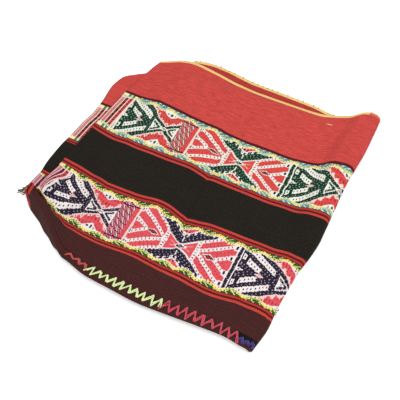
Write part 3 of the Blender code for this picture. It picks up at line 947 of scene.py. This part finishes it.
class YarnTree:
    """A node tree that grows yarn along a line and has its sizes as inputs."""

    def __init__(self, name, inputs):
        self.tree = bpy.data.node_groups.new(name, "GeometryNodeTree")
        self.tree.is_modifier = True
        for title, in_out, kind in (
            ("Line", "INPUT", "Geometry"), ("Yarn", "OUTPUT", "Geometry"),
            *((title, "INPUT", kind) for title, kind in inputs.items()),
            ("Spacing", "INPUT", "Float"), ("Yarn Radius", "INPUT", "Float"),
            ("Unevenness", "INPUT", "Float"), ("Seed", "INPUT", "Int"),
            ("Wool", "INPUT", "Material"),
        ):
            self.tree.interface.new_socket(title, in_out=in_out, socket_type="NodeSocket" + kind)
        self.given = self.node("NodeGroupInput")
        self.line = self.node("GeometryNodeMeshToCurve", {"Mesh": self.given["Line"]})[0]
        across = self.node(
            "GeometryNodeInputNamedAttribute", {"Name": "across"}, data_type="FLOAT_VECTOR",
        )
        self.across = across["Attribute"]

    def node(self, kind, inputs=None, **settings):
        return add_node(self.tree, kind, inputs, **settings).outputs

    def scaled(self, vector, amount):
        return self.node("ShaderNodeVectorMath", {0: vector, "Scale": amount}, operation="SCALE")[0]

    def total(self, first, second):
        return self.node("ShaderNodeVectorMath", {0: first, 1: second}, operation="ADD")[0]

    def strewn(self, low, high):
        """Uneven directions between these two, as strong as the unevenness given."""
        values = {"Min": low, "Max": high, "Seed": self.given["Seed"]}
        uneven = self.node("FunctionNodeRandomValue", values, data_type="FLOAT_VECTOR")
        return self.scaled(uneven[0], self.given["Unevenness"])

    def resampled(self, curve, step):
        values = {"Curve": curve, "Length": step}
        return self.node("GeometryNodeResampleCurve", values, mode="LENGTH")[0]

    def tube(self, curve, sides):
        """A round yarn along a curve."""
        values = {"Resolution": sides, "Radius": self.given["Yarn Radius"]}
        ring = self.node("GeometryNodeCurvePrimitiveCircle", values)[0]
        values = {"Curve": curve, "Profile Curve": ring, "Fill Caps": True}
        return self.node("GeometryNodeCurveToMesh", values)[0]

    def finished(self, geometry):
        """The tree, with this as its result in the wool that is given."""
        whole = self.node("GeometryNodeRealizeInstances", {0: geometry})[0]
        values = {"Geometry": whole, "Material": self.given["Wool"]}
        self.node("NodeGroupOutput", {"Yarn": self.node("GeometryNodeSetMaterial", values)[0]})
        return self.tree


def stitch_tree():
    """Zigzag stitches along a line, sewn onto the cloth."""
    yarn = YarnTree("zigzag stitches", {
        "Cloth": "Object", "Cloth Below": "Object", "Height": "Float", "Lean": "Float",
    })
    given, tree = yarn.given, yarn.tree
    corners = yarn.resampled(yarn.line, Amount(tree, given["Spacing"]) * 0.5)
    # Every other corner lies across and forward of the line, and the rest back from it.
    side = Amount(tree, yarn.node("GeometryNodeInputIndex")[0]).work("MODULO", 2.0) - 0.5
    out = yarn.scaled(yarn.across, side * Amount(tree, given["Height"]))
    tangent = yarn.node("GeometryNodeInputTangent")[0]
    slant = yarn.scaled(tangent, side * Amount(tree, given["Lean"]))
    offset = yarn.total(yarn.total(out, slant), yarn.strewn((-1.0, -1.0, 0.0), (1.0, 1.0, 0.0)))
    zigzag = yarn.node("GeometryNodeSetPosition", {"Geometry": corners, "Offset": offset})[0]

    ground = add_node(tree, "GeometryNodeJoinGeometry")
    for title in ("Cloth", "Cloth Below"):
        values = {"Object": given[title]}
        cloth = yarn.node("GeometryNodeObjectInfo", values, transform_space="RELATIVE")
        tree.links.new(cloth["Geometry"], ground.inputs[0])
    cloth = ground.outputs[0]
    near = yarn.node("GeometryNodeProximity", {"Geometry": cloth}, target_element="FACES")
    values = {"Mesh": cloth, "Value": yarn.node("GeometryNodeInputNormal")[0]}
    facing = yarn.node("GeometryNodeSampleNearestSurface", values, data_type="FLOAT_VECTOR")
    on_cloth = yarn.node("GeometryNodeSetPosition", {
        "Geometry": yarn.resampled(zigzag, STITCH_STEP),
        "Position": near["Position"],
        "Offset": yarn.scaled(facing["Value"], given["Yarn Radius"]),
    })[0]
    return yarn.finished(yarn.tube(on_cloth, STITCH_SIDES))


def loose_end_tree():
    """Short curved yarn ends along a line, pointing about where the line says."""
    yarn = YarnTree("loose yarn ends", {"Length": "Float"})
    bent = {title: yarn.scaled(share, yarn.given["Length"]) for title, share in BEND.items()}
    curve = yarn.node("GeometryNodeCurveQuadraticBezier", {"Resolution": 5, **bent})[0]
    toward = yarn.total(yarn.across, yarn.strewn((-1.0, -1.0, -0.3), (1.0, 1.0, 1.0)))
    turn = yarn.node("FunctionNodeAlignRotationToVector", {"Vector": toward}, axis="Z")[0]
    # Inputs 2 and 3 and output 1 are those for plain numbers.
    values = {2: 0.5, 3: 1.2, "Seed": yarn.given["Seed"]}
    size = yarn.node("FunctionNodeRandomValue", values, data_type="FLOAT")[1]
    return yarn.finished(yarn.node("GeometryNodeInstanceOnPoints", {
        "Points": yarn.resampled(yarn.line, yarn.given["Spacing"]),
        "Instance": yarn.tube(curve, END_SIDES),
        "Rotation": turn,
        "Scale": size,
    })[0])


def grown(name, tree, mesh, inputs):
    """Runs a node tree on a mesh and keeps the result as a plain piece."""
    seed = put(name + "_line", mesh)
    modifier = seed.modifiers.new("grow", "NODES")
    modifier.node_group = tree
    for item in tree.interface.items_tree:
        if item.in_out == "INPUT" and item.name in inputs:
            modifier[item.identifier] = inputs[item.name]
    evaluated = seed.evaluated_get(bpy.context.evaluated_depsgraph_get())
    result = bpy.data.meshes.new_from_object(evaluated)
    bpy.data.objects.remove(seed)
    if not result.polygons:
        raise RuntimeError(name + " grew no faces")
    result.name = name
    result.shade_smooth()
    return add_piece(name, result)


def length(label, about, default):
    return bpy.props.FloatProperty(
        name=label, description=about, default=default, min=0.0, subtype="DISTANCE", unit="LENGTH",
    )


def colour(label, about, *rgb):
    return bpy.props.FloatVectorProperty(
        name=label, description=about, default=linear(*rgb), size=3, min=0.0, max=1.0,
        subtype="COLOR",
    )


class ClothSizes(bpy.types.PropertyGroup):
    thickness: length("Cloth thickness", "Thickness of the woven panels", 0.0013)
    stitch_spacing: length("Stitch spacing", "Length of one zigzag along the seam", 0.0080)
    stitch_height: length("Stitch height", "Height of the zigzag across the seam", 0.0092)
    stitch_lean: length("Stitch lean", "How far the zigzag leans along the seam", 0.0026)
    yarn_radius: length("Yarn radius", "Radius of one strand of the joining yarn", 0.0007)


class ClothColours(bpy.types.PropertyGroup):
    maroon: colour("Maroon", "The field beside the seam", 72, 38, 36)
    black: colour("Black", "The wide field between the bands", 36, 32, 26)
    field_red: colour("Red", "The wide red field", 209, 76, 70)
    coral: colour("Coral", "The light line of each double stripe", 208, 76, 70)
    deep_red: colour("Deep red", "The dark line between two light ones", 104, 24, 21)
    edge_yellow: colour("Edge yellow", "The stripe along the open edge", 255, 224, 150)
    navy: colour("Navy", "The dark of the first band", 43, 35, 52)
    green: colour("Green", "The dark of the second band", 26, 60, 42)
    rose: colour("Rose", "The red of the bands", 230, 88, 96)
    lime: colour("Lime", "The light green joining yarn", 232, 252, 176)
    rose_yarn: colour("Rose yarn", "The red joining yarn", 214, 66, 84)
    violet: colour("Violet", "The blue-violet joining yarn", 58, 36, 132)
    weft_end: colour("Weft ends", "Green yarn ends along the edges", 84, 104, 62)


# The chart's other colours as they are seen: plain ones, and those of the first and second band.
PLAIN_COLOURS = {
    # shaded_red is the field's red with painted shade, for where the cloth lies folded under.
    "red": (180, 60, 54), "shaded_red": (184, 62, 56), "edge_shade": (238, 184, 104),
    # The last is a near-black painted shade under the front fold at the seam's right end.
    "deep_maroon": (92, 28, 30), "seam_fold_shade": (28, 24, 26),
}
FIBRE = (0.42, 0.36, 0.32)
BAND_COLOURS = {
    "hole": ((44, 34, 48), (34, 60, 48)),
    "red_hole": ((150, 56, 70), (150, 66, 60)),
    "light": ((250, 240, 238), (248, 246, 234)),
    "pale": ((250, 216, 212), (250, 226, 214)),
    "pink": ((240, 160, 168), (240, 166, 156)),
    "rust": ((186, 52, 58), (186, 52, 50)),
    "wine": ((142, 34, 62), (156, 44, 52)),
    "dusk": ((72, 26, 44), (70, 36, 38)),
    "speck": ((172, 160, 172), (150, 176, 156)),
    "yellow": ((252, 238, 132), (250, 236, 128)),
    "olive": ((150, 140, 60), (120, 160, 120)),
    "cream": ((250, 236, 170), (250, 240, 190)),
    "border": ((48, 112, 56), (92, 176, 196)),
    "border_dark": ((22, 60, 32), (40, 110, 110)),
    "end_green": ((60, 120, 50), (60, 140, 100)),
    "brown": ((112, 34, 32), (104, 40, 36)),
}
SECOND_ROSE = (224, 80, 76)


def chart_colours(given):
    """The colours of the chart: plain ones, and pairs for the first and the second band."""
    plain = {key: linear(*rgb) for key, rgb in PLAIN_COLOURS.items()}
    for key in ("maroon", "black", "field_red", "coral", "deep_red", "edge_yellow"):
        plain[key] = getattr(given, key)
    bands = {key: [linear(*rgb) for rgb in pair] for key, pair in BAND_COLOURS.items()}
    bands["dark"] = given.navy, given.green
    bands["rose"] = given.rose, linear(*SECOND_ROSE)
    return plain | {"fibre": FIBRE}, bands


class CLOTH_OT_panels(bpy.types.Operator):
    """Lays the outer and the inner woven panel on their folds"""

    bl_idname = "cloth.panels"
    bl_label = "Woven Panels"

    def execute(self, context):
        sizes = context.scene.cloth_sizes
        wool = woven_wool("woven wool", *chart_colours(context.scene.cloth_colours))
        inner_rows = [-distance for distance in reversed(rows_of(INNER_STRETCHES))]
        for name, node, slot, rows in (
            ("outer_cloth", "outer_panel", "outer_wool", rows_of(OUTER_STRETCHES)),
            ("inner_cloth", "inner_panel", "inner_wool", inner_rows),
        ):
            mesh = sheet_mesh(name, rows)
            mesh.materials.append(wool)
            piece = add_piece(name, mesh)
            thicken(piece, sizes.thickness)
            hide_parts(node)
        return {"FINISHED"}


# The seam's stitches: colour, from X to X, height, spacing and lean against the usual, and seed.
STITCH_RUNS = (
    ("red", -86.0, -60.0, 0.5, 1.0, 0.6, 3),
    ("lime", -60.0, 23.5, 1.04, 1.0, 1.0, 5),
    ("rose", 24.0, 104.0, 1.2, 1.06, 0.6, 7),
    ("violet", 103.0, 120.0, 0.7, 0.65, 0.6, 9),
)
# The stitches' middle, and a line behind it that shows which way is across.
STITCH_MIDDLE, STITCH_BEHIND = -2.8, 3.0
STITCH_UNEVENNESS = 0.0013
STITCH_LINE_STEP = 0.5
# Each stitch is sewn twice: the second strand's height against the first, and its shift along.
STRANDS = ((1.0, 0.0), (0.76, 0.9))


class CLOTH_OT_joining_stitches(bpy.types.Operator):
    """Sews the two panels together with zigzag stitches in four colours"""

    bl_idname = "cloth.joining_stitches"
    bl_label = "Joining Stitches"

    def execute(self, context):
        sizes, colours = context.scene.cloth_sizes, context.scene.cloth_colours
        shades = {
            "red": colours.coral, "lime": colours.lime,
            "rose": colours.rose_yarn, "violet": colours.violet,
        }
        tree = stitch_tree()
        for key, start, end, height, spacing, lean, seed in STITCH_RUNS:
            wool = yarn_wool(key + " yarn", shades[key])
            for strand, (share, shift) in enumerate(STRANDS):
                points, across = [], []
                for x in np.arange(start, end + 0.01, STITCH_LINE_STEP):
                    points.append(surface_point(STITCH_MIDDLE, x + shift))
                    behind = surface_point(STITCH_BEHIND, x + shift)
                    across.append((behind - points[-1]).normalized())
                name = f"{key}_stitches_{strand + 1}"
                piece = grown(name, tree, line_mesh(name, points, across), {
                    "Cloth": bpy.data.objects["outer_cloth"],
                    "Cloth Below": bpy.data.objects["inner_cloth"],
                    "Spacing": sizes.stitch_spacing * spacing,
                    "Height": sizes.stitch_height * height * share,
                    "Lean": sizes.stitch_lean * lean,
                    "Yarn Radius": sizes.yarn_radius,
                    "Unevenness": STITCH_UNEVENNESS,
                    "Seed": seed + strand,
                    "Wool": wool,
                })
        return {"FINISHED"}


# Loose yarn ends: name, half of the cloth, colour, from distance and X to distance and X, which
# way they point, length, spacing and yarn radius in millimetres, unevenness of the way, and seed.
LOOSE_ENDS = (
    ("corner_green", "top", "green", (-46, -173), (-40, -172.5), (-0.3, -1, 0),
     11.0, 1.5, 0.6, 0.12, 3),
    ("corner_weft", "top", "weft_end", (-48, -172.5), (-42, -172.5), (-0.4, -1, 0),
     8.0, 2.0, 0.5, 0.15, 12),
    ("corner_rose", "top", "rose", (-38, -172), (-34, -170.5), (-0.1, -1, 0),
     9.0, 3.0, 0.45, 0.12, 4),
    ("corner_light", "top", "cream", (-42, -172.5), (-33, -169.5), (-0.2, -1, 0),
     5.0, 3.0, 0.4, 0.2, 6),
    ("corner_black", "top", "black", (-31, -168.5), (-28, -167), (-0.1, -1, 0),
     5.0, 2.0, 0.5, 0.15, 5),
    ("weft_ends", "under", "weft_end", (287.4, -88), (287.4, 122), (0, 0.7, 0.5),
     1.6, 6.3, 0.45, 0.5, 7),
    ("edge_fuzz", "under", "cream", (287.4, -88), (287.4, 122), (0, 1, 0.4),
     1.6, 3.1, 0.16, 1.0, 8),
    ("far_corner", "top", "weft_end", (287, 124), (287, 131), (0.2, 0.8, 0.8),
     3.0, 6.0, 0.35, 0.3, 9),
    ("slub", "top", "cream", (273, 83), (273, 85.5), (1, -0.2, 0.1),
     4.0, 3.0, 0.5, 0.1, 10),
    ("speck", "top", "cream", (44, 107), (44, 107.8), (1, -0.6, 0.1),
     1.6, 1.0, 0.3, 0.2, 13),
    ("right_end", "top", "green", (33, 124), (38, 124.5), (0.6, 0.5, 0.6),
     2.5, 2.5, 0.5, 0.3, 11),
)
CREAM_END = (244, 232, 190)
# How many points the line has that the ends of one row start from.
END_LINE_POINTS = 61


class CLOTH_OT_loose_ends(bpy.types.Operator):
    """Adds the loose yarn ends at the corners and along the open edge"""

    bl_idname = "cloth.loose_ends"
    bl_label = "Loose Ends"

    def execute(self, context):
        colours = context.scene.cloth_colours
        wools = {
            key: yarn_wool(key + " end", getattr(colours, key))
            for key in ("green", "rose", "black", "weft_end")
        }
        wools["cream"] = yarn_wool("cream end", linear(*CREAM_END))
        tree = loose_end_tree()
        for name, half, key, start, end, toward, *sizes, unevenness, seed in LOOSE_ENDS:
            point = surface_point if half == "top" else under_point
            points = [
                point(*(low + (high - low) * share for low, high in zip(start, end)))
                for share in np.linspace(0, 1, END_LINE_POINTS)
            ]
            directions = [Vector(toward).normalized()] * len(points)
            reach, spacing, radius = (size * METRES for size in sizes)
            piece = grown(name, tree, line_mesh(name, points, directions), {
                "Length": reach, "Spacing": spacing, "Yarn Radius": radius,
                "Unevenness": unevenness, "Seed": seed, "Wool": wools[key],
            })
        return {"FINISHED"}


TABLE_HALF = 6.0
TABLE_GREY = (0.93, 0.93, 0.93, 1)
TABLE_ROUGHNESS = 0.8
# The table is lit a little from below, as in a photograph on a white ground.
TABLE_GLOW = 0.25
WHITE = (1, 1, 1, 1)
SKY_STRENGTH = 0.6
# The lamps: name, place, size and power.
LAMPS = (
    ("top light", (0.25, 0.1, 1.6), 2.2, 32.0),
    ("front light", (0.5, -1.2, 1.1), 0.9, 5.0),
)
LENS, SENSOR = 72.0, 36.0
CAMERA_UP, CAMERA_ROUND, CAMERA_FAR = math.radians(54.5), math.radians(26.0), 0.8406


class CLOTH_OT_stage(bpy.types.Operator):
    """Sets the pale table, soft light and camera"""

    bl_idname = "cloth.stage"
    bl_label = "Stage"

    def execute(self, context):
        scene = context.scene
        scene.view_settings.view_transform = "Standard"
        mesh = bpy.data.meshes.new("table_top")
        corners = ((-1, -1), (1, -1), (1, 1), (-1, 1))
        corners = [(x * TABLE_HALF, y * TABLE_HALF, 0) for x, y in corners]
        mesh.from_pydata(corners, [], [(0, 1, 2, 3)])
        material, *_ = new_material("pale table", {
            "Base Color": TABLE_GREY, "Roughness": TABLE_ROUGHNESS,
            "Emission Color": WHITE, "Emission Strength": TABLE_GLOW,
        })
        mesh.materials.append(material)
        floor = put("table_top", mesh)

        world = bpy.data.worlds.new("studio")
        world.use_nodes = True
        sky = world.node_tree.nodes["Background"]
        feed(sky, {"Color": WHITE, "Strength": SKY_STRENGTH})
        scene.world = world
        for name, place, size, power in LAMPS:
            light = bpy.data.lights.new(name, "AREA")
            light.size, light.energy = size, power
            lamp = put(name, light)
            lamp.location = place
            lamp.rotation_euler = (-Vector(place)).to_track_quat("-Z", "Y").to_euler()

        lens = bpy.data.cameras.new("camera")
        lens.lens, lens.sensor_width = LENS, SENSOR
        camera = put("camera", lens)
        target = Vector((-MIDDLE_X, -MIDDLE_Y, 0)) * METRES
        level = math.cos(CAMERA_UP)
        back = Vector((
            level * math.sin(CAMERA_ROUND), -level * math.cos(CAMERA_ROUND), math.sin(CAMERA_UP),
        ))
        camera.location = target + back * CAMERA_FAR
        camera.rotation_euler = (-back).to_track_quat("-Z", "Y").to_euler()
        scene.camera = camera
        return {"FINISHED"}


class CLOTH_PT_sidebar(bpy.types.Panel):
    """The cloth's sizes, colours and steps"""

    bl_idname = "CLOTH_PT_sidebar"
    bl_label = "Ceremonial Cloth"
    bl_space_type = "VIEW_3D"
    bl_region_type = "UI"
    bl_category = "Cloth"

    def draw(self, context):
        for group in (context.scene.cloth_sizes, context.scene.cloth_colours):
            for key in group.__annotations__:
                self.layout.prop(group, key)
        for step in STEPS:
            self.layout.operator(step.bl_idname)


STEPS = (CLOTH_OT_stage, CLOTH_OT_panels, CLOTH_OT_joining_stitches, CLOTH_OT_loose_ends)
CLASSES = (ClothSizes, ClothColours, *STEPS, CLOTH_PT_sidebar)


def register():
    for each in CLASSES:
        bpy.utils.register_class(each)
    bpy.types.Scene.cloth_sizes = bpy.props.PointerProperty(type=ClothSizes)
    bpy.types.Scene.cloth_colours = bpy.props.PointerProperty(type=ClothColours)


def unregister():
    del bpy.types.Scene.cloth_colours
    del bpy.types.Scene.cloth_sizes
    for each in reversed(CLASSES):
        bpy.utils.unregister_class(each)


def main():
    register()
    bpy.ops.cloth.stage()
    bpy.ops.cloth.panels()
    bpy.ops.cloth.joining_stitches()
    bpy.ops.cloth.loose_ends()


if __name__ == "__main__":
    main()
